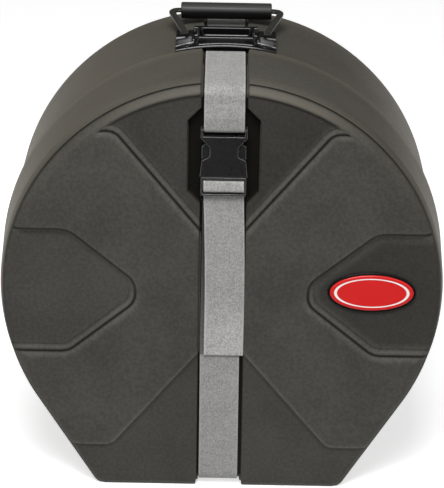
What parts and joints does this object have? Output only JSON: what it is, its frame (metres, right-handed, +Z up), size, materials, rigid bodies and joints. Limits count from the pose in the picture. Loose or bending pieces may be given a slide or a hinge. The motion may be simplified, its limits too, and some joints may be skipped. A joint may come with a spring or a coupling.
{
  "type": "drum case",
  "caption": "Round hard-shell drum case with a sleeved lid, a strap round it with a side-release buckle, a folding top handle and a foam lining.",
  "frame": {"origin": "centre of the bounding box in plan, on the plane that the flat foot stands on", "axes": "+Z up, -Y towards the face of the lid with the buckle, +X to the right seen from in front of the lid"},
  "size_m": [0.444, 0.267, 0.4449],
  "materials": {
    "shell": "matt, finely pitted as moulded",
    "handle_plastic": "satin gloss",
    "buckle_plastic": "satin",
    "bail_paint": "black, satin",
    "rivet_steel": "dulled",
    "webbing": "woven, matt",
    "foam": "soft, matt",
    "badge_rim": "gloss",
    "badge_red": "gloss"
  },
  "bodies": {
    "body": {"body_shell": "shell", "body_side_liner": "foam", "body_rear_pad": "foam", "body_corner_block_left": "foam", "body_corner_block_right": "foam", "rear_strap": "webbing", "handle_base": "handle_plastic", "handle_pivot_pins": "rivet_steel", "handle_rivets": "rivet_steel", "handle_backing_plates": "rivet_steel"},
    "lid": {"lid_shell": "shell", "lid_side_liner": "foam", "lid_pad_left": "foam", "lid_pad_right": "foam", "badge_bezel": "badge_rim", "badge_face": "badge_red", "upper_strap": "webbing", "lower_strap": "webbing", "buckle_socket": "buckle_plastic"},
    "plug": {"buckle_plug": "buckle_plastic", "strap_tail": "webbing"},
    "latch_left": {"latch_left": "buckle_plastic"},
    "latch_right": {"latch_right": "buckle_plastic"},
    "handle": {"handle_bail": "bail_paint", "handle_grip": "handle_plastic"}
  },
  "joints": [
    {"name": "lid_slide", "type": "slide", "parent": "body", "child": "lid", "axis": [0, -1, 0], "range_m": [0, 0.075]},
    {"name": "buckle_release", "type": "slide", "parent": "lid", "child": "plug", "axis": [0, 0, -1], "range_m": [0, 0.03], "deforming": ["lower_strap", "latch_left", "latch_right"]},
    {"name": "latch_left_press", "type": "hinge", "parent": "plug", "child": "latch_left", "pos_m": [-0.0155, -0.128, 0.3344], "axis": [0, 1, 0], "range_deg": [0, 8], "stiffness_Nm_per_rad": 0.6},
    {"name": "latch_right_press", "type": "hinge", "parent": "plug", "child": "latch_right", "pos_m": [0.0155, -0.128, 0.3344], "axis": [0, -1, 0], "range_deg": [0, 8], "stiffness_Nm_per_rad": 0.6},
    {"name": "handle_fold", "type": "hinge", "parent": "body", "child": "handle", "pos_m": [0, 0.0165, 0.4276], "axis": [1, 0, 0], "range_deg": [0, 100]}
  ]
}
